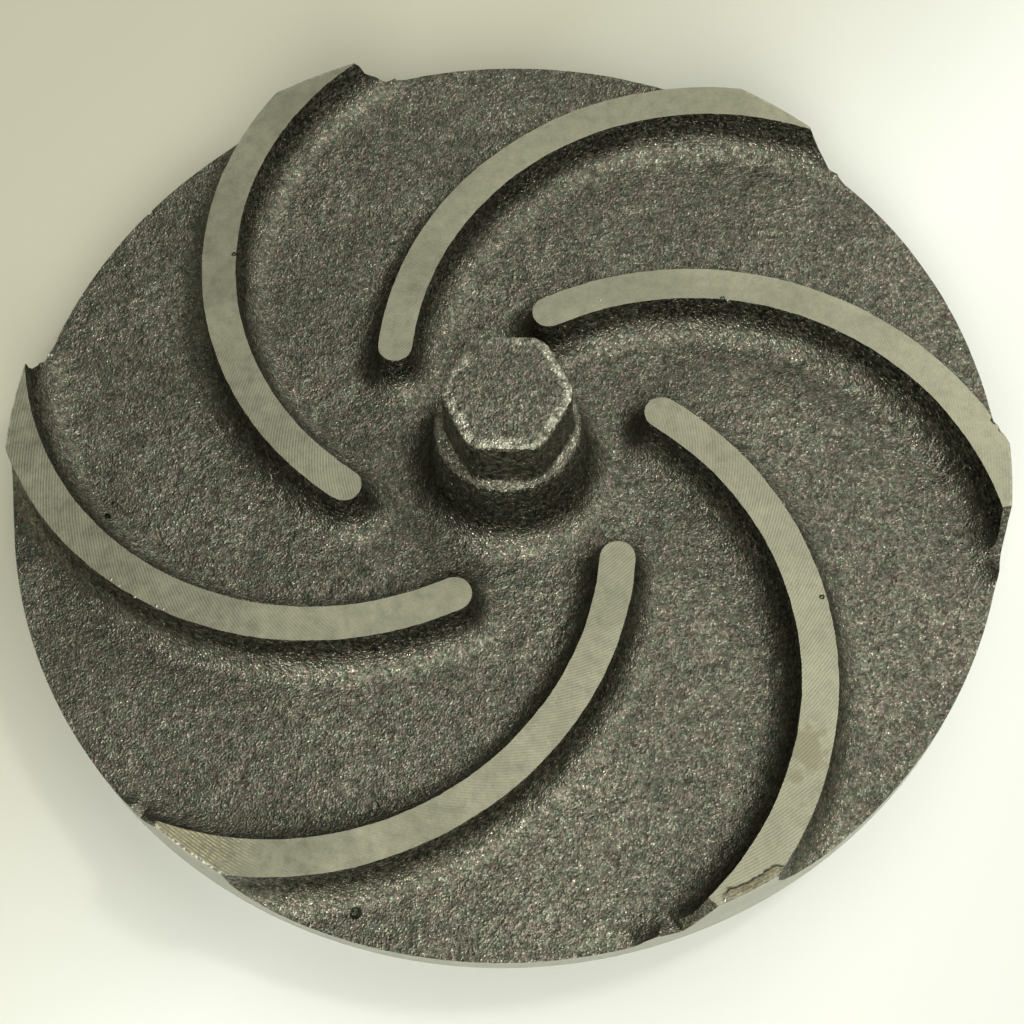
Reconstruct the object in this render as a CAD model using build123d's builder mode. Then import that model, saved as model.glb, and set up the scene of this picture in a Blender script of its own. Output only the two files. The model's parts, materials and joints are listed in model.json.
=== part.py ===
from build123d import *
import os
from math import acos, cos, degrees, radians, sin, tan

# Semi-open pump impeller: one grey iron casting, turned and faced afterwards.
# The origin is on the shaft axis, at the faced end of the rear hub, and +Z points
# to the inlet side, where the vanes and the wrench hex are.
# All dimensions are millimetres and degrees.

# Turned disc
outer_diameter = 177.8
disc_thickness = 4.2
rim_break = 0.4            # broken edge at the back of the rim

# Vanes
vane_count = 6
vane_height = 9.1          # from the disc's front face to the faced tops
vane_thickness = 6.2       # at the tops
vane_draft = 4.0           # slope of each side wall
vane_root = 4.5            # cast fillet along the foot
camber_radius = 57.8       # each vane follows one arc
camber_offset = 41.1       # distance from the shaft axis to that arc's centre
camber_angle = -34.8       # direction of the first vane's arc centre
vane_eye_radius = 28.85    # where the rounded inner ends are centred

# Front boss and wrench hex
boss_foot_radius = 14.2    # where the drafted side would meet the disc without its fillet
boss_shoulder_radius = 12.8
boss_height = 17.0         # from the disc's front face to the shoulder
boss_root = 6.0
boss_edge = 0.8
hex_across_flats = 20.6
hex_corner = 4.0
hex_height = 12.5
hex_draft = 0.5
hex_crown = 1.0

# Rear hub and its blind tapped hole
hub_diameter = 34.0
hub_length = 16.0
hub_root = 4.0
hub_break = 1.0
tap_drill_diameter = 13.5  # core size for a 5/8 in coarse thread
tap_drill_depth = 26.0     # to the start of the drill's point
drill_point = 118.0
mouth_diameter = 17.0
mouth_angle = 90.0

# The blank and the vanes are drawn this much over size, so that the root fillets
# close round the vane ends before the rim is turned
blank_margin = 17.0
vane_overrun = 6.0

# Heights above the hub's faced end
back_z = hub_length
face_z = back_z + disc_thickness
vane_top_z = face_z + vane_height
shoulder_z = face_z + boss_height

rim_radius = outer_diameter / 2
blank_radius = rim_radius + blank_margin
hub_radius = hub_diameter / 2


def camber_turn(radius):
    """Angle at the camber arc's centre between the shaft axis and the camber at a radius."""
    sides = camber_offset**2 + camber_radius**2 - radius**2
    return degrees(acos(sides / (2 * camber_offset * camber_radius)))


boss_foot = (boss_foot_radius, face_z)
boss_shoulder = (boss_shoulder_radius, shoulder_z)

camber_x = camber_offset * cos(radians(camber_angle))
camber_y = camber_offset * sin(radians(camber_angle))
inner_turn = camber_turn(vane_eye_radius)
outer_turn = camber_turn(rim_radius + vane_overrun)
camber_start = camber_angle + 180 - outer_turn
vane_foot_z = back_z + disc_thickness / 2
vane_foot_thickness = vane_thickness + 2 * (vane_top_z - vane_foot_z) * tan(radians(vane_draft))

with BuildPart() as impeller:
    # Disc, hub and boss in one turned section, with stock left at the rim
    with BuildSketch(Plane.XZ) as section:
        with BuildLine():
            Polyline(
                (0, 0),
                (hub_radius, 0),
                (hub_radius, back_z),
                (blank_radius, back_z),
                (blank_radius, face_z),
                boss_foot,
                boss_shoulder,
                (0, shoulder_z),
                close=True,
            )
        make_face()
        chamfer(section.vertices().sort_by_distance((hub_radius, 0))[0], hub_break)
        fillet(section.vertices().sort_by_distance((hub_radius, back_z))[0], hub_root)
        fillet(section.vertices().sort_by_distance(boss_foot)[0], boss_root)
        fillet(section.vertices().sort_by_distance(boss_shoulder)[0], boss_edge)
    revolve(axis=Axis.Z)

    # Six backward-curved vanes, drafted like the pattern they were moulded from
    with BuildSketch(Plane.XY.offset(vane_foot_z)):
        with PolarLocations(0, vane_count):
            camber = CenterArc((camber_x, camber_y), camber_radius, camber_start, outer_turn - inner_turn)
            SlotArc(camber, vane_foot_thickness)
    extrude(amount=vane_top_z - vane_foot_z, taper=vane_draft)

    # Cast fillet along the foot of every vane
    front_face = impeller.faces().filter_by(Axis.Z).sort_by_distance((0, 0, face_z))
    disc_face = front_face.filter_by(lambda face: abs(face.center().Z - face_z) < 0.01)[0]
    root_arcs = disc_face.edges().filter_by(GeomType.CIRCLE)
    fillet(root_arcs.filter_by(lambda edge: abs(edge.arc_center.X) + abs(edge.arc_center.Y) > 1), vane_root)

    # Turning: the rim and the outer ends of the vanes are cut to one cylinder
    Cylinder(rim_radius, 2 * shoulder_z, mode=Mode.INTERSECT)
    back_rim = impeller.edges().filter_by(GeomType.CIRCLE).filter_by(lambda edge: edge.radius > rim_radius - 0.01)
    chamfer(back_rim.sort_by(Axis.Z)[0], rim_break)

    # Wrench hex cast on the boss
    with BuildSketch(Plane.XY.offset(shoulder_z)) as hex_outline:
        RegularPolygon(hex_across_flats / 2, 6, major_radius=False)
        fillet(hex_outline.vertices(), hex_corner)
    extrude(amount=hex_height, taper=hex_draft)
    fillet(impeller.faces().sort_by(Axis.Z)[-1].edges(), hex_crown)

    # Blind tapped hole from the faced end of the hub
    with BuildSketch(Plane.XZ):
        with BuildLine():
            drill_radius = tap_drill_diameter / 2
            mouth_radius = mouth_diameter / 2
            mouth_depth = (mouth_radius - drill_radius) / tan(radians(mouth_angle / 2))
            point_z = tap_drill_depth + drill_radius / tan(radians(drill_point / 2))
            Polyline(
                (0, 0),
                (mouth_radius, 0),
                (drill_radius, mouth_depth),
                (drill_radius, tap_drill_depth),
                (0, point_z),
                close=True,
            )
        make_face()
    revolve(axis=Axis.Z, mode=Mode.SUBTRACT)

impeller.part.label = "impeller"

os.makedirs("parts", exist_ok=True)
export_step(impeller.part, "parts/impeller.step")
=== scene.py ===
"""A semi-open pump impeller, cast in iron and then turned, on a pale studio floor."""

import json
from math import atan, cos, pi, radians, sin, tan

import bmesh
import bpy
import numpy as np
from mathutils import Matrix, Vector

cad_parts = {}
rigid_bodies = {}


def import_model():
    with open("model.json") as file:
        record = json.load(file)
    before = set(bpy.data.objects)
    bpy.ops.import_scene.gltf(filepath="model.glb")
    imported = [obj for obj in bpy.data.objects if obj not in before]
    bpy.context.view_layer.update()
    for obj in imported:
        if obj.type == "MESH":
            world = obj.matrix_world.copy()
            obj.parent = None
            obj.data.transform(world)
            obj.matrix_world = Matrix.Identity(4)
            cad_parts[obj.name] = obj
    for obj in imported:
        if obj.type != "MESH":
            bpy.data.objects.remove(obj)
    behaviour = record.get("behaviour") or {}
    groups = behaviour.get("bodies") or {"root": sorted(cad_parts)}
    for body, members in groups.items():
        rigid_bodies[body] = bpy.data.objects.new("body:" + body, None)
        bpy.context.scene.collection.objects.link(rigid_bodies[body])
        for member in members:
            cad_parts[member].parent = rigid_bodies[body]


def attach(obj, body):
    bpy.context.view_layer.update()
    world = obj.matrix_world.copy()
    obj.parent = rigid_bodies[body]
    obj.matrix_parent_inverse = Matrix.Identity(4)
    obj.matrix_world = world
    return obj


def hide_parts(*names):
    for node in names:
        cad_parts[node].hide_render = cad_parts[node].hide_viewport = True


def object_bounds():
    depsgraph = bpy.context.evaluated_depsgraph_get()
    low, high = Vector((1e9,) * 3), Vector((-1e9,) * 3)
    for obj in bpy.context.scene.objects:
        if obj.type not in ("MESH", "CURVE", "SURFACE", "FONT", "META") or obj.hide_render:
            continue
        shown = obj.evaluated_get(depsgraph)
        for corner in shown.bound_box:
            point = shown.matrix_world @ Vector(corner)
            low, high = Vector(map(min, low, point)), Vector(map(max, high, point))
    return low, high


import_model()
cad_low, cad_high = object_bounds()

bl_info = {
    "name": "Pump impeller",
    "version": (1, 0, 0),
    "blender": (4, 5, 0),
    "location": "View3D > Sidebar > Impeller",
    "description": "Builds a cast and turned semi-open pump impeller and the studio round it",
    "category": "Add Mesh",
}

MM = 0.001
STOCK = 1.5 * MM    # what the casting carries over its turned size
SINK = 3 * MM       # how far one part of the pattern stands in the next
RELIEF = 21 * MM    # radius inside which the facing tool doesn't reach
# How far each vane stands round from its sixth of a turn, in radians
VANE_PHASES = (0.0074, -0.0009, 0.0035, -0.0080, -0.0065, 0.0047)
# How much of each vane's thin outer tip is missing, in millimetres
TIPS_SHORT = (5.2, 1.7, 1.3, 0.6, 3.4, 6.2)
# How far the hex and the boss under it stand off the shaft's axis, and the hex's stretch one way
HEX_MIDDLE = (1.0 * MM, 0.8 * MM, -0.3 * MM)
BOSS_MIDDLE = (0.8 * MM, 1.0 * MM, 0)
HEX_STRETCH = 1.045
# What the sand leaves on the casting: a name, and its size and depth in millimetres
SAND_MARKS = (("swell", 9.0, 0.22), ("lumps", 2.6, 0.13), ("grit", 1.4, 0.16))
# Blow holes and chips in millimetres: place, height above the disc's face, radius
PITS = (
    (-19.6, -63.1, 0.5, 1.0), (-19.9, -64.4, 0.4, 0.8), (-21.6, -81.5, 0.4, 1.1),
    (-70.2, -8.5, 0.3, 0.7), (-71.2, -11.1, 0.3, 0.7), (-70.5, 53.6, 0.0, 0.7),
    (40.3, -62.0, 0.4, 0.6), (-47.0, -63.3, 0.5, 0.6), (55.2, -26.9, 9.1, 0.5),
    (-51.7, 39.1, 9.1, 0.5), (86.5, 7.6, 9.3, 0.8), (87.7, 5.8, 9.3, 0.8),
    (38.7, 31.5, 9.1, 0.45), (79.6, 4.0, 9.3, 0.7), (83.0, -3.4, 9.3, 0.7),
)
# Bright burrs on the vane tops' edges: place and radius in millimetres
BURRS = (
    (-66.9, -26.7, 0.40), (-65.3, -27.9, 0.26), (-62.4, -29.8, 0.32), (-58.5, -31.5, 0.45),
    (-57.2, -32.0, 0.30), (38.4, -79.6, 0.45), (39.6, 31.2, 0.30), (16.4, 30.7, 0.28),
)
# The worn end of one vane's top: its middle, and which way it lies beyond its crack
WORN_MIDDLE = (43.8 * MM, -77.2 * MM, 0)
WORN_WAY = (0.45, -0.89, 0)
# The middle of the stains further in on the same vane
STAIN_MIDDLE = (55 * MM, -57 * MM, 0)
# The middle of the vane end whose tool streaks get a painted highlight
HIGHLIGHT_MIDDLE = (-52 * MM, -71 * MM, 0)
# The casting's material slots
SKIN, FACED, TURNED = 0, 1, 2
# Lamps: name, place and side in metres, power in watts
LAMPS = (
    ("ceiling", (0.44, 0.42, 0.88), 1.4, 8.2),
    ("window", (0.04, -0.66, 0.72), 0.5, 8.0),
    ("bulb", (0.42, 0.10, 0.90), 0.12, 1.5),
)
# Height of the disc's face, which the lamps and the camera aim at
AIM_HEIGHT = 20.2 * MM
# The camera's distance from there in metres, and its turns in radians
CAMERA_DISTANCE = 0.37005
CAMERA_AZIMUTH, CAMERA_ELEVATION = radians(-84.4), radians(64.13)
CAMERA_ROLL, CAMERA_PAN, CAMERA_TILT = 0.0666, 0.0018, 0.0202


# --------------------------------------------------------------------------
# Settings
# --------------------------------------------------------------------------

def length(name, description, default):
    """A length in millimetres, shown as a distance in the panel."""
    return bpy.props.FloatProperty(
        name=name, description=description, default=default * MM, min=0.0,
        precision=5, subtype="DISTANCE", unit="LENGTH")


def angle(name, description, degrees):
    """An angle, given in degrees."""
    return bpy.props.FloatProperty(
        name=name, description=description, default=radians(degrees),
        subtype="ANGLE", unit="ROTATION")


def colour(name, description, red, green, blue):
    """A colour, given in linear light."""
    return bpy.props.FloatVectorProperty(
        name=name, description=description, default=(red, green, blue), size=3,
        min=0.0, max=1.0, subtype="COLOR")


def number(name, description, default):
    """A plain number."""
    return bpy.props.FloatProperty(name=name, description=description, default=default, min=0.0)


class ImpellerSizes(bpy.types.PropertyGroup):
    """Sizes of the impeller."""

    rim_radius: length("Rim radius", "Radius of the turned rim", cad_high.x / MM)
    disc_thickness: length("Disc thickness", "Thickness of the disc", 4.2)
    rim_break: length("Rim break", "Broken edge at the back of the rim", 0.4)
    vane_height: length("Vane height", "Height of the faced vane tops above the disc", 9.1)
    vane_thickness: length("Vane thickness", "Thickness of a vane at its top", 6.2)
    vane_draft: angle("Vane draft", "Slope of the vane sides", 4.0)
    vane_root: length("Vane root", "Radius of the cast fillet along a vane's foot", 5.6)
    camber_radius: length("Camber radius", "Radius of the arc that a vane follows", 57.8)
    camber_offset: length("Camber offset", "Distance from the shaft axis to the arc's centre", 41.1)
    camber_angle: angle("Camber angle", "Direction of the first vane's arc centre", -34.8)
    vane_eye: length("Vane eye", "Radius where the rounded inner ends are centred", 28.85)
    boss_foot: length("Boss foot", "Radius of the front boss at the disc", 14.4)
    boss_shoulder: length("Boss shoulder", "Radius of the front boss at its shoulder", 12.9)
    boss_height: length("Boss height", "Height of the shoulder above the disc", 17.0)
    boss_root: length("Boss root", "Radius of the cast fillet round the boss", 6.0)
    boss_edge: length("Boss edge", "Rounding of the shoulder", 0.7)
    hex_flats: length("Hex size", "Wrench hex across its flats", 20.7)
    hex_corner: length("Hex corner", "Rounding of the hex's upright corners", 4.2)
    hex_height: length("Hex height", "Height of the hex above the shoulder", 12.5)
    hex_crown: length("Hex crown", "Rounding of the hex's top edge", 0.7)
    hub_radius: length("Hub radius", "Radius of the rear hub", 17.0)
    hub_length: length("Hub length", "Length of the rear hub behind the disc", 16.0)
    hub_root: length("Hub root", "Radius of the fillet between hub and disc", 4.0)
    hub_break: length("Hub break", "Chamfer at the hub's faced end", 1.0)
    core_radius: length("Thread core", "Radius of the tapped hole at its thread's crests", 6.75)
    thread_pitch: length("Thread pitch", "Distance from one turn of the thread to the next", 2.309)
    thread_depth: length("Thread length", "Depth of the tapped hole to its drill point", 26.0)
    mouth_radius: length("Mouth radius", "Radius of the countersunk mouth", 8.5)
    cast_grain: length("Cast grain", "Size of the mesh that holds the cast surface", 0.7)


class ImpellerFinish(bpy.types.PropertyGroup):
    """Colours of the impeller's surfaces."""

    skin: colour("Cast skin", "Foundry skin of the iron", 0.153, 0.150, 0.112)
    faced: colour("Faced iron", "Freshly faced vane tops", 0.35, 0.345, 0.238)
    turned: colour("Turned iron", "Turned rim, back and hub", 0.40, 0.40, 0.33)
    worn: colour("Worn end", "Brownish worn patch at the end of one vane", 0.17, 0.15, 0.085)
    crack: colour("Crack", "Dark line that bounds the worn patch", 0.04, 0.033, 0.018)
    stain: colour("Stain", "Stains on the same vane's top", 0.22, 0.20, 0.12)
    # The streaks are tool marks; their pale gold colour is a painted highlight
    streak_sheen: colour("Gilt streaks", "Bright streaks left by the facing tool", 0.90, 0.78, 0.42)
    # Painted glint: a near-white colour along the edge of the faced tops
    glint: colour("Glint", "Bright edge between the vane tops and the rim", 0.98, 0.95, 0.80)


class StudioSettings(bpy.types.PropertyGroup):
    """The floor, the lamps and the camera."""

    floor: colour("Floor", "Pale floor under the part", 0.89, 0.91, 0.80)
    # Painted shade: the floor is painted darker towards the upper left
    floor_painted_shade: colour("Floor, dim side", "The floor's tone at the upper left", 0.56, 0.545, 0.40)
    backdrop: colour("Backdrop", "The pale paper past the floor", 0.93, 0.95, 0.84)
    sky: number("Sky", "Strength of the light from above the paper", 0.06)
    lens: bpy.props.FloatProperty(
        name="Lens", description="Focal length on a 36 mm sensor, in millimetres",
        default=71.95, min=10.0, subtype="DISTANCE_CAMERA")


# --------------------------------------------------------------------------
# Hands: selecting and shaping meshes
# --------------------------------------------------------------------------

def let_go():
    """Leaves edit mode with nothing selected."""
    if bpy.context.mode != "OBJECT":
        bpy.ops.object.mode_set(mode="OBJECT")
    bpy.ops.object.select_all(action="DESELECT")


def take(thing, *others):
    """Selects objects, the first of them active."""
    let_go()
    for each in (thing, *others):
        each.select_set(True)
    bpy.context.view_layer.objects.active = thing


def draw_line(name, points):
    """A new mesh line through the points, drawn one vertex after the other."""
    let_go()
    bpy.ops.mesh.primitive_plane_add(size=MM, location=points[0])
    line = bpy.context.object
    line.name = name
    bpy.ops.object.mode_set(mode="EDIT")
    bpy.ops.mesh.select_all(action="SELECT")
    bpy.ops.mesh.merge(type="CENTER")
    for start, end in zip(points, points[1:]):
        step = Vector(end) - Vector(start)
        bpy.ops.mesh.extrude_vertices_move(TRANSFORM_OT_translate={"value": step})
    bpy.ops.object.mode_set(mode="OBJECT")
    settle(line)
    return line


def settle(piece):
    """Puts a piece's place into its mesh."""
    take(piece)
    bpy.ops.object.transform_apply(location=True, rotation=True, scale=True)


def shift(piece, step):
    """Moves a piece and puts its new place into its mesh."""
    take(piece)
    bpy.ops.transform.translate(value=step)
    settle(piece)


def spin_line(line, turn, steps, centre):
    """Spins a mesh line round an upright axis, counter-clockwise from above."""
    take(line)
    bpy.ops.object.mode_set(mode="EDIT")
    bpy.ops.mesh.select_all(action="SELECT")
    bpy.ops.mesh.spin(steps=steps, angle=-turn, center=centre, axis=(0, 0, 1))
    bpy.ops.mesh.select_all(action="SELECT")
    bpy.ops.mesh.remove_doubles(threshold=0.01 * MM)
    bpy.ops.object.mode_set(mode="OBJECT")


def close_up(piece):
    """Fills the open ends of a swept piece and points its faces outwards."""
    take(piece)
    bpy.ops.object.mode_set(mode="EDIT")
    bpy.ops.mesh.select_all(action="SELECT")
    bpy.ops.mesh.fill_holes(sides=0)
    bpy.ops.mesh.normals_make_consistent(inside=False)
    bpy.ops.object.mode_set(mode="OBJECT")


def lathe(name, section, steps):
    """A solid of revolution about the shaft axis; the section starts and ends on the axis."""
    body = draw_line(name, [(radius, 0, height) for radius, height in section])
    spin_line(body, 2 * pi, steps, (0, 0, 0))
    close_up(body)
    return body


def arc(centre, radius, start, end, count):
    """Points of an arc in a section, from one angle to another."""
    turns = np.linspace(start, end, count)
    return [(centre[0] + radius * cos(t), centre[1] + radius * sin(t)) for t in turns]


def modify(piece, kind, **settings):
    """Adds a modifier and applies it."""
    take(piece)
    bpy.ops.object.modifier_add(type=kind)
    modifier = piece.modifiers[-1]
    for name, value in settings.items():
        setattr(modifier, name, value)
    bpy.ops.object.modifier_apply(modifier=modifier.name)


def cut(piece, tool, operation="DIFFERENCE"):
    """Cuts a piece with a tool, which is used up."""
    modify(piece, "BOOLEAN", object=tool, operation=operation, solver="MANIFOLD")
    bpy.data.objects.remove(tool, do_unlink=True)


def join(first, *others):
    """Joins pieces into the first one."""
    take(first, *others)
    bpy.ops.object.join()
    return first


def read_all(items, name):
    """Three numbers for each vertex or face of a mesh, such as its place or normal."""
    numbers = np.zeros(len(items) * 3)
    items.foreach_get(name, numbers)
    return numbers.reshape(-1, 3)


# --------------------------------------------------------------------------
# The casting
# --------------------------------------------------------------------------

class Heights:
    """Heights above the hub's faced end."""

    def __init__(self, sizes):
        self.back = sizes.hub_length
        self.face = self.back + sizes.disc_thickness
        self.vane_top = self.face + sizes.vane_height
        self.shoulder = self.face + sizes.boss_height
        self.hex_top = self.shoulder + sizes.hex_height


def camber_turn(sizes, radius):
    """Angle at the camber arc's centre between the shaft axis and the camber at a radius."""
    sides = sizes.camber_offset ** 2 + sizes.camber_radius ** 2 - radius ** 2
    return float(np.arccos(sides / (2 * sizes.camber_offset * sizes.camber_radius)))


def camber_centre(sizes, direction):
    """Centre of the camber arc that lies in a direction."""
    return Vector((cos(direction), sin(direction), 0)) * sizes.camber_offset


def cast_disc(sizes, heights):
    """Disc and hub as cast, with stock left for the lathe."""
    outer = sizes.rim_radius + STOCK
    hub = sizes.hub_radius + STOCK
    return lathe("casting", [
        (0, -STOCK), (hub, -STOCK), (hub, heights.back - STOCK), (outer, heights.back - STOCK),
        (outer, heights.face), (0, heights.face)], 180)


def cast_boss(sizes, heights):
    """The front boss with its root; it is cast a little off the shaft's axis."""
    lean = atan((sizes.boss_foot - sizes.boss_shoulder) / sizes.boss_height)
    root = (sizes.boss_foot + sizes.boss_root * (1 / cos(lean) - tan(lean)),
            heights.face + sizes.boss_root)
    edge = (sizes.boss_shoulder - sizes.boss_edge, heights.shoulder - sizes.boss_edge)
    boss = lathe("boss", [
        (0, heights.face - SINK), (root[0], heights.face - SINK),
        *arc(root, sizes.boss_root, -pi / 2, -pi + lean, 10),
        *arc(edge, sizes.boss_edge, lean, pi / 2, 5),
        (0, heights.shoulder)], 96)
    shift(boss, BOSS_MIDDLE)
    return boss


def cast_hex(sizes, heights):
    """The wrench hex, from a six-sided cylinder with its corners and top rounded."""
    let_go()
    depth = sizes.hex_height + SINK
    bpy.ops.mesh.primitive_cylinder_add(
        vertices=6, radius=sizes.hex_flats / 2 / cos(pi / 6), depth=depth,
        location=(0, 0, heights.hex_top - depth / 2), rotation=(0, 0, pi / 6))
    wrench_hex = bpy.context.object
    settle(wrench_hex)
    for upright, size, steps in ((True, sizes.hex_corner, 6), (False, sizes.hex_crown, 4)):
        bpy.ops.object.mode_set(mode="EDIT")
        bpy.ops.mesh.select_mode(type="EDGE")
        bpy.ops.mesh.select_all(action="DESELECT")
        mesh = bmesh.from_edit_mesh(wrench_hex.data)
        for each in mesh.edges:
            low, high = sorted(v.co.z for v in each.verts)
            if (high - low > depth / 2) if upright else (low > heights.hex_top - 0.01 * MM):
                each.select_set(True)
        bmesh.update_edit_mesh(wrench_hex.data)
        offset = size * tan(pi / 6) if upright else size
        bpy.ops.mesh.bevel(offset=offset, segments=steps, profile=0.5, clamp_overlap=True)
        bpy.ops.mesh.select_mode(type="VERT")
        bpy.ops.object.mode_set(mode="OBJECT")
    bpy.ops.transform.resize(value=(1, HEX_STRETCH, 1))
    shift(wrench_hex, HEX_MIDDLE)
    return wrench_hex


def vane_section(sizes, heights):
    """Half of a vane's section from its top to its sunk foot: offset from the camber, height."""
    lean = sizes.vane_draft
    half_top = sizes.vane_thickness / 2 - STOCK * tan(lean)
    root = sizes.vane_root
    foot = sizes.vane_thickness / 2 + sizes.vane_height * tan(lean)
    centre = (foot + root * (1 / cos(lean) - tan(lean)), heights.face + root)
    return [(0, heights.vane_top + STOCK), (half_top, heights.vane_top + STOCK),
            *arc(centre, root, -pi + lean, -pi / 2, 9),
            (centre[0], heights.face - SINK), (0, heights.face - SINK)]


def cast_vane(sizes, heights, direction):
    """One backward-curved vane with its draft, its cast root and its rounded inner end."""
    past_rim = 5 * MM
    centre = camber_centre(sizes, direction)
    inner = camber_turn(sizes, sizes.vane_eye)
    outer = camber_turn(sizes, sizes.rim_radius + past_rim)
    start = direction + pi - inner

    def place(offset, height, at):
        reach = sizes.camber_radius + offset
        return centre.x + reach * cos(at), centre.y + reach * sin(at), height

    right = vane_section(sizes, heights)
    left = [(-offset, height) for offset, height in reversed(right[:-1])]
    blade = draw_line("vane", [place(*point, start) for point in (*right, *left)])
    spin_line(blade, -(outer - inner), 48, centre)
    nose = draw_line("nose", [place(*point, start) for point in right])
    spin_line(nose, pi, 16, Vector(place(0, 0, start)))
    join(blade, nose)
    take(blade)
    bpy.ops.object.mode_set(mode="EDIT")
    bpy.ops.mesh.select_all(action="SELECT")
    bpy.ops.mesh.remove_doubles(threshold=0.02 * MM)
    bpy.ops.object.mode_set(mode="OBJECT")
    close_up(blade)
    return blade


def blunt_tip(casting, sizes, heights, direction, short):
    """Ends a vane before its thin outer tip, where the iron didn't run."""
    side = sizes.camber_radius - sizes.vane_thickness / 2
    spread = sizes.camber_offset ** 2 + side ** 2 - sizes.rim_radius ** 2
    tip = direction + pi - float(np.arccos(spread / (2 * sizes.camber_offset * side)))
    end = tip + short * MM / side
    breadth, foot, slope = 16 * MM, heights.face + 3.4 * MM, radians(-32)
    along = Vector((sin(end), -cos(end), 0))
    middle = camber_centre(sizes, direction)
    middle += Vector((cos(end), sin(end), 0)) * side + along * (breadth / 2)
    let_go()
    bpy.ops.mesh.primitive_cube_add(
        size=1, rotation=(slope, 0, end), location=(middle.x, middle.y, foot + sizes.vane_height),
        scale=(breadth, breadth, 2 * sizes.vane_height))
    block = bpy.context.object
    settle(block)
    cut(casting, block)
    # The cut's lower corners are softened, so that they run out into the disc
    softened, below_top, above_back = 12 * MM, 1.6 * MM, 1 * MM
    places = read_all(casting.data.vertices, "co")
    around = middle - along * (breadth / 2)
    near = np.hypot(places[:, 0] - around.x, places[:, 1] - around.y) < softened
    low = places[:, 2] < heights.vane_top - below_top
    low &= places[:, 2] > heights.back + above_back
    group = casting.vertex_groups.new(name="tip")
    group.add(np.flatnonzero(near & low).tolist(), 1.0, "REPLACE")
    modify(casting, "SMOOTH", factor=0.5, iterations=30, vertex_group="tip")
    casting.vertex_groups.clear()


def pour(sizes, heights):
    """The rough casting: its solids fused, softened and given a sand-cast surface."""
    casting = cast_disc(sizes, heights)
    directions = [sizes.camber_angle + phase + number * pi / 3
                  for number, phase in enumerate(VANE_PHASES)]
    vanes = [cast_vane(sizes, heights, direction) for direction in directions]
    join(casting, cast_boss(sizes, heights), cast_hex(sizes, heights), *vanes)
    modify(casting, "REMESH", mode="VOXEL", voxel_size=sizes.cast_grain, use_smooth_shade=True)
    for direction, short in zip(directions, TIPS_SHORT):
        blunt_tip(casting, sizes, heights, direction, short)
    modify(casting, "SMOOTH", factor=0.5, iterations=2)
    for name, size, depth in SAND_MARKS:
        texture = bpy.data.textures.new(name, "CLOUDS")
        texture.noise_scale = size * MM
        texture.noise_depth = 1
        modify(casting, "DISPLACE", texture=texture, texture_coords="LOCAL",
               strength=depth * MM, mid_level=0.5)
    return casting


def turning_envelope(sizes, heights):
    """All that the lathe leaves: hub, back, rim and vane tops are cut to it."""
    clear = heights.hex_top + 5 * MM
    root = (sizes.hub_radius + sizes.hub_root, heights.back - sizes.hub_root)
    section = [
        (0, 0), (sizes.hub_radius - sizes.hub_break, 0), (sizes.hub_radius, sizes.hub_break),
        *arc(root, sizes.hub_root, pi, pi / 2, 7),
        (sizes.rim_radius - sizes.rim_break, heights.back),
        (sizes.rim_radius, heights.back + sizes.rim_break), (sizes.rim_radius, heights.vane_top),
        (RELIEF, heights.vane_top), (RELIEF, clear), (0, clear),
    ]
    return lathe("envelope", section, 360)


def drill(sizes):
    """The blind hole with its countersunk mouth and drill point."""
    core = sizes.core_radius
    mouth = sizes.mouth_radius
    under = 1 * MM
    point = core / tan(radians(118) / 2)
    return lathe("drill", [
        (0, -under), (mouth + under, -under), (core, mouth - core), (core, sizes.thread_depth),
        (0, sizes.thread_depth + point)], 96)


def tap(sizes):
    """The groove of a right-hand thread, from under the mouth to near the drill point."""
    pitch = sizes.thread_pitch
    mouth, bottom = sizes.core_radius - 0.3 * MM, sizes.core_radius + 0.515 * pitch
    wide, narrow = 0.42 * pitch, 0.14 * pitch
    start, steps = -pitch, 40
    groove = draw_line("groove", [
        (mouth, 0, start - wide), (bottom, 0, start - narrow), (bottom, 0, start + narrow),
        (mouth, 0, start + wide), (mouth, 0, start - wide)])
    run_out = 3 * MM
    turns = int((sizes.thread_depth - run_out) / pitch)
    modify(groove, "SCREW", axis="Z", angle=2 * pi, screw_offset=pitch, iterations=turns,
           steps=steps, render_steps=steps, use_merge_vertices=True, merge_threshold=0.01 * MM)
    close_up(groove)
    return groove


def pit_all(casting, heights):
    """Cuts the blow holes and chips, which are small rough hollows."""
    roughness = 0.22
    let_go()
    balls = []
    for number, (x, y, z, radius) in enumerate(PITS):
        bpy.ops.mesh.primitive_ico_sphere_add(
            subdivisions=2, radius=radius * MM, location=(x * MM, y * MM, z * MM + heights.face))
        ball = bpy.context.object
        bpy.ops.object.mode_set(mode="EDIT")
        bpy.ops.transform.vertex_random(offset=roughness * radius * MM, seed=number)
        bpy.ops.object.mode_set(mode="OBJECT")
        balls.append(ball)
    for ball in balls:
        settle(ball)
    cut(casting, join(*balls))


def raise_burrs(casting, heights):
    """Leaves small burrs on the edges of the vane tops."""
    sunk = 0.6
    for x, y, radius in BURRS:
        let_go()
        bpy.ops.mesh.primitive_ico_sphere_add(
            subdivisions=2, radius=radius * MM,
            location=(x * MM, y * MM, heights.vane_top - sunk * radius * MM))
        burr = bpy.context.object
        settle(burr)
        cut(casting, burr, "UNION")


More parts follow.
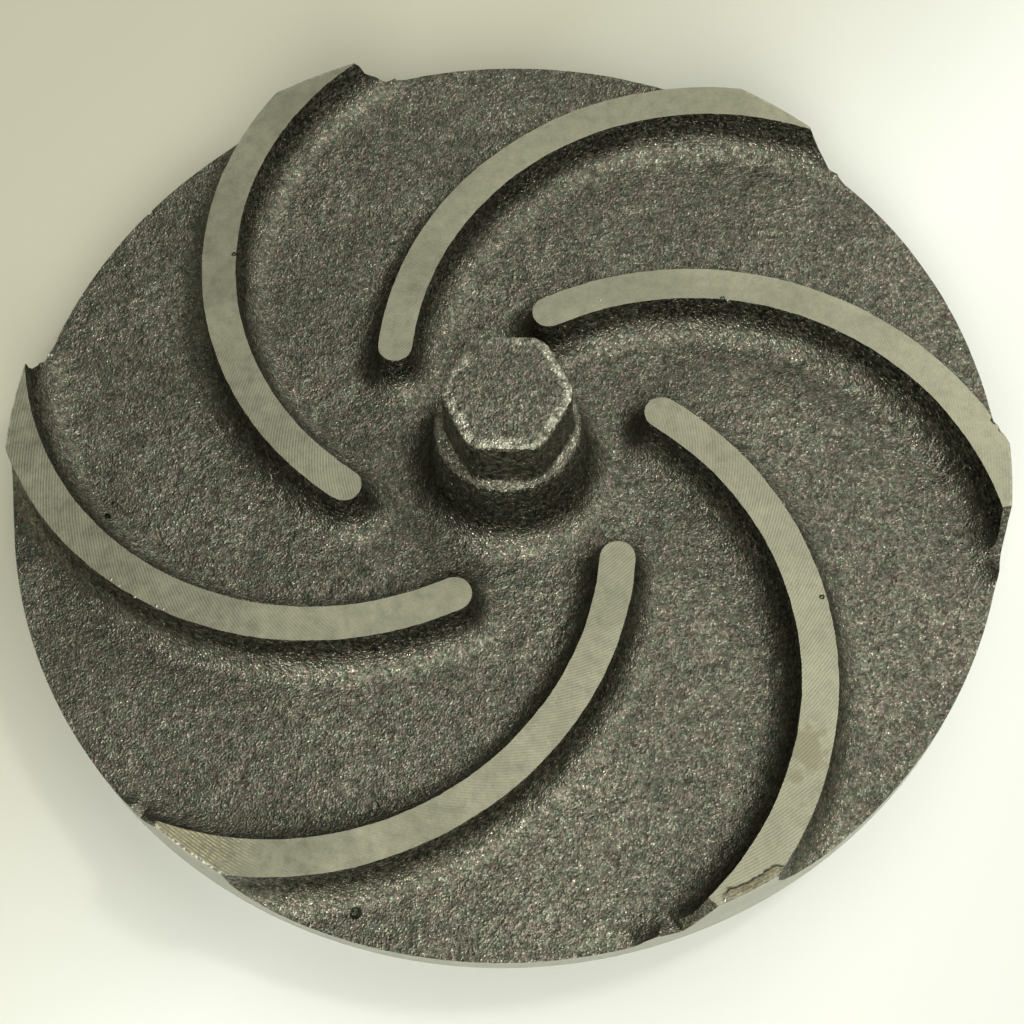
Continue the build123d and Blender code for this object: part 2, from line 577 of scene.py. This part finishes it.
def clear_crumbs(casting):
    """Removes what the cuts left loose, and keeps all that hangs together with the hex."""
    take(casting)
    bpy.ops.object.mode_set(mode="EDIT")
    bpy.ops.mesh.select_mode(type="VERT")
    bpy.ops.mesh.select_all(action="DESELECT")
    bpy.ops.object.mode_set(mode="OBJECT")
    max(casting.data.vertices, key=lambda vertex: vertex.co.z).select = True
    bpy.ops.object.mode_set(mode="EDIT")
    bpy.ops.mesh.select_linked()
    bpy.ops.mesh.select_all(action="INVERT")
    bpy.ops.mesh.delete(type="VERT")
    bpy.ops.object.mode_set(mode="OBJECT")


def machine(casting, sizes, heights):
    """Turns, faces, bores and taps the casting."""
    cut(casting, turning_envelope(sizes, heights), "INTERSECT")
    cut(casting, drill(sizes))
    cut(casting, tap(sizes))
    pit_all(casting, heights)
    raise_burrs(casting, heights)
    clear_crumbs(casting)


# --------------------------------------------------------------------------
# Finishes
# --------------------------------------------------------------------------

class Socket:
    """A shader socket that can be written in sums; an expression adds its Math nodes."""

    def __init__(self, shop, link):
        self.shop, self.link = shop, link

    def _with(self, operation, first, second):
        return self.shop.node("ShaderNodeMath", {"operation": operation}, {0: first, 1: second})

    def __add__(self, other):
        return self._with("ADD", self, other)

    def __radd__(self, other):
        return self._with("ADD", other, self)

    def __sub__(self, other):
        return self._with("SUBTRACT", self, other)

    def __rsub__(self, other):
        return self._with("SUBTRACT", other, self)

    def __mul__(self, other):
        return self._with("MULTIPLY", self, other)

    def __rmul__(self, other):
        return self._with("MULTIPLY", other, self)

    def __abs__(self):
        return self._with("ABSOLUTE", self, None)

    def max(self, other):
        return self._with("MAXIMUM", self, other)


class Shop:
    """The node tree of a material or world, and the one method that adds a node to it."""

    def __init__(self, name, kind=bpy.data.materials):
        self.owner = kind.new(name)
        self.owner.use_nodes = True
        self.tree = self.owner.node_tree
        self.tree.nodes.clear()

    def node(self, kind, settings=None, inputs=None, output=0):
        """Adds a node with its settings, then its values and links; returns one of its outputs."""
        made = self.tree.nodes.new(kind)
        for name, value in (settings or {}).items():
            if name == "stops":
                ramp = made.color_ramp
                while len(ramp.elements) < len(value):
                    ramp.elements.new(0.5)
                for element, (position, shade) in zip(ramp.elements, value):
                    grey = not hasattr(shade, "__len__")
                    element.position = position
                    element.color = (shade, shade, shade, 1) if grey else (*shade, 1)
            else:
                setattr(made, name, value)
        for key, value in (inputs or {}).items():
            if isinstance(value, Socket):
                self.tree.links.new(value.link, made.inputs[key])
            elif value is not None:
                made.inputs[key].default_value = value
        return None if output is None else Socket(self, made.outputs[output])

    def place(self, middle=(0, 0, 0)):
        """Object coordinates in metres, measured from a middle."""
        here = self.node("ShaderNodeTexCoord", output="Object")
        return self.vector("SUBTRACT", here, middle)

    def vector(self, operation, first, second, output=0):
        """Vector maths on two vectors."""
        inputs = {0: first, 1: second}
        return self.node("ShaderNodeVectorMath", {"operation": operation}, inputs, output)

    def along(self, place, direction):
        """Distance along a direction."""
        return self.vector("DOT_PRODUCT", place, direction, 1)

    def radius(self, place):
        """Distance from the shaft's axis."""
        return self.vector("LENGTH", self.vector("MULTIPLY", place, (1, 1, 0)), None, 1)

    def sine(self, value):
        """Sine of an angle in radians."""
        return self.node("ShaderNodeMath", {"operation": "SINE"}, {0: value})

    def noise(self, size, place, detail=2.0, rough=0.5):
        """Noise on a lattice of the given size in millimetres."""
        return self.node("ShaderNodeTexNoise", {}, {
            "Vector": place, "Scale": 1 / (size * MM), "Detail": detail, "Roughness": rough})

    def grains(self, size, place, output="Distance"):
        """Grains of a size in millimetres: the distance from a grain's middle, or its colour."""
        inputs = {"Vector": place, "Scale": 1 / (size * MM)}
        return self.node("ShaderNodeTexVoronoi", {}, inputs, output)

    def ramp(self, factor, *stops):
        """Grey levels or colours along a factor."""
        return self.node("ShaderNodeValToRGB", {"stops": stops}, {"Fac": factor})

    def rise(self, value, low, high, start=0.0, end=1.0):
        """A smooth step from start to end while a value goes from low to high."""
        return self.node("ShaderNodeMapRange", {"interpolation_type": "SMOOTHSTEP"}, {
            "Value": value, "From Min": low, "From Max": high, "To Min": start, "To Max": end})

    def mix(self, factor, first, second, blend="MIX"):
        """Mixes two colours."""
        return self.node("ShaderNodeMix", {"data_type": "RGBA", "blend_type": blend}, {
            0: factor, 6: first, 7: second}, 2)

    def times(self, first, second):
        """Multiplies two colours."""
        return self.mix(1.0, first, second, "MULTIPLY")

    def bump(self, height, depth, under=None):
        """Turns a height into a normal; the depth is in millimetres."""
        return self.node("ShaderNodeBump", {}, {
            "Strength": 1.0, "Distance": depth * MM, "Height": height, "Normal": under})

    def finish(self, **inputs):
        """Ends the tree in a principled shader and returns the material."""
        names = {key.replace("_", " ").title(): value for key, value in inputs.items()}
        shader = self.node("ShaderNodeBsdfPrincipled", {}, names)
        self.node("ShaderNodeOutputMaterial", {}, {"Surface": shader}, None)
        return self.owner


def rgb(value, gain=1.0):
    """A colour for a socket."""
    return (value[0] * gain, value[1] * gain, value[2] * gain, 1)


def brightened_edges(shop, place, sizes, heights, swirl):
    """How much brighter the skin is painted at the hex's top edge and at the boss's shoulder, where
    the brightening is a painted highlight on the shoulder's ring.
    """
    off = shop.place(HEX_MIDDLE)
    flats = [abs(shop.along(off, (cos(turn), sin(turn) / HEX_STRETCH, 0)))
             for turn in (pi / 2, pi / 6, -pi / 6)]
    reach = flats[0].max(flats[1]).max(flats[2]) + (swirl - 0.5) * (1.5 * MM)
    height = shop.along(place, (0, 0, 1))
    half = sizes.hex_flats / 2
    edge = shop.rise(reach, half - 2.2 * MM, half - 1.2 * MM) * shop.rise(
        height, heights.hex_top - 1.6 * MM, heights.hex_top - 0.6 * MM)
    shoulder = shop.rise(abs(height - heights.shoulder), 1.2 * MM, 0.5 * MM)
    # Brightened most at two opposite ends of the hex's top edge
    used = shop.rise(abs(shop.along(off, (0.5, -0.86, 0))), 3 * MM, 9 * MM, 0.9, 0.55)
    return (edge * used).max(shoulder * 0.22)


def skin_material(finish, sizes, heights):
    """Sand-cast iron: dark and grainy, each grain with its own gloss, with painted shade on its
    steep sides, a brighter top edge on the hex and a painted highlight on the boss's shoulder.
    """
    shop = Shop("cast_skin")
    place = shop.place()
    white = (1, 1, 1, 1)
    grain_size = 0.36
    swirl = shop.noise(0.8, place, 4.0, 0.65)
    blotch = shop.noise(1.9, place, 2.0, 0.6)
    cloud = shop.noise(22.0, place, 3.0, 0.55)
    grain = shop.grains(grain_size, place)
    each = shop.grains(grain_size, place, "Color")
    tone = shop.times(shop.ramp(swirl, (0.33, 0.60), (0.50, 1.0), (0.68, 1.55)),
                      shop.ramp(each, (0.1, 0.64), (0.6, 1.0), (0.95, 1.7)))
    tone = shop.times(shop.times(tone, shop.ramp(cloud, (0.35, 0.85), (0.65, 1.12))),
                      shop.ramp(blotch, (0.34, 0.78), (0.66, 1.24)))
    green, red = (0.90, 1.06, 0.92), (1.16, 0.97, 0.98)
    tint = shop.mix(0.6, white, shop.ramp(shop.noise(1.6, place), (0.35, green), (0.65, red)))
    # Painted shade: steep sides are painted up to half as dark, as if less lit, and their tone is
    # made more uneven
    level = shop.along(shop.node("ShaderNodeTexCoord", output="Normal"), (0, 0, 1))
    steep = shop.rise(level, 0.15, 0.65, 1.0, 0.0)
    tone = shop.times(tone, 1.0 - steep * 0.5)
    uneven = shop.ramp(swirl, (0.38, 0.35), (0.62, 1.9))
    tone = shop.times(tone, shop.mix(steep, white, uneven))
    base = shop.times(shop.times(tone, tint), rgb(finish.skin))
    # Painted highlight: the boss's shoulder ring is painted brighter, and the hex's top edge too,
    # patchily
    brightened = brightened_edges(shop, place, sizes, heights, swirl) * shop.rise(blotch, 0.30, 0.50)
    base = shop.mix(brightened, base, shop.times(tone, rgb(finish.skin, 2.7)))
    rough = shop.ramp(shop.along(each, (0.2, 0.5, 0.3)), (0.30, 0.54), (0.75, 0.27))
    peel = shop.rise(cloud, 0.46, 0.60, 0.25, 1.0) * blotch
    normal = shop.bump(grain * (1.0 + steep * 1.6), 0.13)
    normal = shop.bump(peel, 0.42, shop.bump(swirl, 0.18, normal))
    return shop.finish(base_color=base, metallic=1.0, roughness=rough, normal=normal)


def wear_end(shop, place, base, finish, fine, mottle):
    """Browns the worn end of one vane behind its crack; returns the colour and where it's worn."""
    end = shop.place(WORN_MIDDLE)
    crack_at = 1.5 * MM
    wander = (shop.noise(3.2, place) - 0.5) * (3.4 * MM)
    beyond = shop.along(end, WORN_WAY) + wander
    near = shop.rise(shop.radius(end), 6.5 * MM, 5.0 * MM)
    worn = near * shop.rise(beyond, -crack_at, -1.2 * MM)
    crack = near * shop.rise(abs(beyond + crack_at), 0.42 * MM, 0.16 * MM)
    crack = crack * shop.rise(fine, 0.3, 0.5)
    patchy = shop.rise(fine + mottle, 0.80, 1.10, 0.15, 0.9)
    base = shop.mix(worn * patchy, base, rgb(finish.worn))
    base = shop.mix(crack * 0.75, base, rgb(finish.crack))
    stained = shop.rise(shop.radius(shop.place(STAIN_MIDDLE)), 13 * MM, 7 * MM)
    stained = stained * shop.rise(shop.noise(5.0, place, 3.0), 0.44, 0.56)
    return shop.mix(stained * 0.55, base, rgb(finish.stain)), worn


def faced_material(finish, rim):
    """Faced iron: pale, with fine tool marks round the shaft's axis."""
    shop = Shop("faced_iron")
    place = shop.place()
    feed = 0.5 * MM
    wander = shop.noise(9.0, place) * (0.4 * MM)
    ring = shop.sine((shop.radius(place) + wander) * (2 * pi / feed))
    mottle = shop.noise(2.4, place, 5.0, 0.62)
    cloud = shop.noise(18.0, place)
    fine = shop.noise(0.8, place, 3.0, 0.6)
    tone = shop.times(shop.ramp(mottle, (0.30, 0.80), (0.50, 1.0), (0.70, 1.14)),
                      shop.ramp(cloud, (0.35, 0.88), (0.65, 1.08)))
    each = shop.grains(0.4, place, "Color")
    tone = shop.times(tone, shop.ramp(each, (0.1, 0.93), (0.9, 1.06)))
    tone = shop.times(tone, shop.ramp(ring * 0.5 + 0.5, (0.0, 0.97), (1.0, 1.02)))
    base = shop.times(tone, rgb(finish.faced))
    base, worn = wear_end(shop, place, base, finish, fine, mottle)
    # Painted highlight on the tool streaks at one vane's end, and a painted glint along the rim
    from_highlight = shop.radius(shop.place(HIGHLIGHT_MIDDLE))
    streak_sheen = shop.rise(from_highlight, 17 * MM, 5 * MM) * shop.rise(ring, -0.2, 0.7)
    streak_sheen = streak_sheen * shop.rise(shop.noise(1.0, place, 4.0, 0.6), 0.34, 0.60)
    base = shop.mix(streak_sheen * 0.55, base, rgb(finish.streak_sheen))
    # Painted glint: the faced tops' outer edge is painted near white in spots, most near one vane's
    # end
    glint = shop.rise(shop.radius(place), rim - 0.50 * MM, rim - 0.25 * MM)
    glint = glint * shop.rise(fine, 0.46, 0.58) * shop.rise(from_highlight, 21 * MM, 17 * MM, 0.15, 0.95)
    base = shop.mix(glint, base, rgb(finish.glint))
    rough = shop.ramp(mottle, (0.3, 0.50), (0.7, 0.62))
    normal = shop.bump(mottle, 0.04, shop.bump(fine * worn.max(streak_sheen), 0.25))
    normal = shop.bump(ring, 0.008, normal)
    return shop.finish(base_color=base, metallic=1.0, roughness=rough, normal=normal)


def turned_material(finish):
    """Turned iron: grey, with tool marks that run round the axis."""
    shop = Shop("turned_iron")
    place = shop.place()
    feed = 0.42 * MM
    turn = (shop.radius(place) + shop.along(place, (0, 0, 1))) * (2 * pi / feed)
    ring = shop.sine(turn)
    mottle = shop.noise(2.5, place, 3.0, 0.6)
    chatter = shop.sine(turn * 0.043 + mottle * 2.0)
    tone = shop.times(shop.ramp(mottle, (0.35, 0.94), (0.65, 1.04)),
                      shop.ramp(ring * 0.5 + 0.5, (0, 0.90), (1, 1.05)))
    tone = shop.times(tone, shop.ramp(chatter * 0.5 + 0.5, (0, 0.94), (1, 1.04)))
    base = shop.times(tone, rgb(finish.turned))
    normal = shop.bump(ring, 0.010, shop.bump(mottle, 0.01))
    return shop.finish(base_color=base, metallic=1.0, roughness=0.36, normal=normal)


def lay_finishes(casting, sizes, heights, finish):
    """Gives the cut faces their machined finish and the rest the cast skin."""
    casting.data.materials.clear()
    for material in (skin_material(finish, sizes, heights),
                     faced_material(finish, sizes.rim_radius), turned_material(finish)):
        casting.data.materials.append(material)
    centres = read_all(casting.data.polygons, "center")
    normals = read_all(casting.data.polygons, "normal")
    radii = np.hypot(centres[:, 0], centres[:, 1])
    outward = (centres[:, :2] * normals[:, :2]).sum(1) / np.maximum(radii, 1e-9)
    near, square = 0.02 * MM, 0.99
    faced = abs(centres[:, 2] - heights.vane_top) < near
    faced &= (normals[:, 2] > square) & (radii > RELIEF)
    rim = (radii > sizes.rim_radius - 2 * near) & (outward > square)
    behind = centres[:, 2] < heights.back + sizes.rim_break
    bored = (radii < sizes.core_radius + near) & (centres[:, 2] < heights.shoulder - 3 * MM)
    index = np.full(len(radii), SKIN, np.int32)
    index[faced] = FACED
    index[rim | behind | bored] = TURNED
    for x, y, radius in BURRS:
        burr = np.hypot(centres[:, 0] - x * MM, centres[:, 1] - y * MM) < 1.05 * radius * MM
        index[burr & (centres[:, 2] > heights.vane_top - 2 * radius * MM)] = TURNED
    casting.data.polygons.foreach_set("material_index", index)
    take(casting)
    bpy.ops.object.shade_smooth_by_angle(angle=radians(35))


# --------------------------------------------------------------------------
# Operators
# --------------------------------------------------------------------------

class IMPELLER_OT_add_impeller(bpy.types.Operator):
    """Cast, turn, tap and finish the impeller"""

    bl_idname = "impeller.add_impeller"
    bl_label = "Pump impeller"

    def execute(self, context):
        sizes = context.scene.impeller_sizes
        heights = Heights(sizes)
        casting = pour(sizes, heights)
        machine(casting, sizes, heights)
        casting.name = "impeller_casting"
        lay_finishes(casting, sizes, heights, context.scene.impeller_finish)
        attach(casting, "root")
        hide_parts("impeller")
        return {"FINISHED"}


def lay_floor(studio):
    """A pale floor just under the hub, with painted shade darkening it towards the upper left and a
    little towards the lower right.
    """
    let_go()
    bpy.ops.mesh.primitive_grid_add(
        x_subdivisions=8, y_subdivisions=8, size=1.2, location=(0, 0, -0.1 * MM))
    floor = bpy.context.object
    floor.name = "floor"
    settle(floor)
    shop = Shop("floor")
    across = shop.along(shop.place(), (0.78, -0.62, 0))
    # Painted shade: darker towards the upper left and a little darker towards the lower right
    span, far_share = 0.34, 0.80
    far = tuple(far_share * each for each in studio.floor)
    shade = shop.ramp((across + span / 2) * (1 / span), (0.0, studio.floor_painted_shade),
                      (0.30, studio.floor_painted_shade), (0.56, studio.floor), (0.90, far))
    floor.data.materials.append(shop.finish(base_color=shade, roughness=0.6, metallic=0.0))


def hang_backdrop(scene, studio):
    """A world that is pale paper up to a little above the horizon and dim sky over it."""
    shop = Shop("studio", bpy.data.worlds)
    way = shop.node("ShaderNodeTexCoord", output="Generated")
    height = shop.node("ShaderNodeSeparateXYZ", {}, {0: way}, "Z")
    paper_top, sky_foot = 0.10, 0.20
    strength = shop.rise(height, paper_top, sky_foot, 1.0, studio.sky)
    background = shop.node("ShaderNodeBackground", {}, {
        "Color": rgb(studio.backdrop), "Strength": strength})
    shop.node("ShaderNodeOutputWorld", {}, {"Surface": background}, None)
    scene.world = shop.owner


def soft_lamp(name, place, aim, size, power):
    """A square area lamp, aimed at a point."""
    let_go()
    bpy.ops.object.light_add(type="AREA", location=place)
    lamp = bpy.context.object
    lamp.name = name
    lamp.rotation_euler = (Vector(aim) - Vector(place)).to_track_quat("-Z", "Y").to_euler()
    lamp.data.shape = "SQUARE"
    lamp.data.size = size
    lamp.data.energy = power


def set_camera(scene, studio, aim):
    """The camera, turned a little off the point that it looks at."""
    let_go()
    bpy.ops.object.camera_add()
    camera = bpy.context.object
    camera.name = "camera"
    camera.data.sensor_width = 36.0
    camera.data.lens = studio.lens
    back = Vector((cos(CAMERA_AZIMUTH) * cos(CAMERA_ELEVATION),
                   sin(CAMERA_AZIMUTH) * cos(CAMERA_ELEVATION), sin(CAMERA_ELEVATION)))
    right = Vector((-sin(CAMERA_AZIMUTH), cos(CAMERA_AZIMUTH), 0))
    straight = Matrix((right, back.cross(right), back))
    turned = (Matrix.Rotation(CAMERA_ROLL, 3, "Z") @ Matrix.Rotation(CAMERA_PAN, 3, "Y")
              @ Matrix.Rotation(CAMERA_TILT, 3, "X"))
    stand = Matrix.Translation(aim + back * CAMERA_DISTANCE)
    camera.matrix_world = stand @ (turned @ straight).transposed().to_4x4()
    camera.data.clip_start, camera.data.clip_end = 0.01, 20
    scene.camera = camera


class IMPELLER_OT_add_stage(bpy.types.Operator):
    """Lay the floor and set the lamps and the camera"""

    bl_idname = "impeller.add_stage"
    bl_label = "Studio"

    def execute(self, context):
        scene = context.scene
        studio = scene.impeller_studio
        aim = Vector((0, 0, AIM_HEIGHT))
        lay_floor(studio)
        hang_backdrop(scene, studio)
        for name, place, size, power in LAMPS:
            soft_lamp(name, place, aim, size, power)
        set_camera(scene, studio, aim)
        scene.view_settings.view_transform = "Standard"
        return {"FINISHED"}


class IMPELLER_PT_panel(bpy.types.Panel):
    """Builds the impeller and its studio"""

    bl_idname = "IMPELLER_PT_panel"
    bl_label = "Pump impeller"
    bl_space_type = "VIEW_3D"
    bl_region_type = "UI"
    bl_category = "Impeller"

    def draw(self, context):
        column = self.layout.column()
        for group in ("impeller_sizes", "impeller_finish", "impeller_studio"):
            settings = getattr(context.scene, group)
            for name in settings.bl_rna.properties.keys():
                if name not in ("rna_type", "name"):
                    column.prop(settings, name)
        column.operator("impeller.add_impeller")
        column.operator("impeller.add_stage")


GROUPS = (
    ("impeller_sizes", ImpellerSizes),
    ("impeller_finish", ImpellerFinish),
    ("impeller_studio", StudioSettings),
)
CLASSES = (*(group for _, group in GROUPS),
           IMPELLER_OT_add_impeller, IMPELLER_OT_add_stage, IMPELLER_PT_panel)


def register():
    """Adds the classes and the scene's settings."""
    for each in CLASSES:
        bpy.utils.register_class(each)
    for name, group in GROUPS:
        setattr(bpy.types.Scene, name, bpy.props.PointerProperty(type=group))


def unregister():
    """Takes the settings and the classes away again."""
    for name, _ in GROUPS:
        delattr(bpy.types.Scene, name)
    for each in reversed(CLASSES):
        bpy.utils.unregister_class(each)


def main():
    """Builds the impeller, then the studio."""
    register()
    bpy.ops.impeller.add_impeller()
    bpy.ops.impeller.add_stage()


if __name__ == "__main__":
    main()
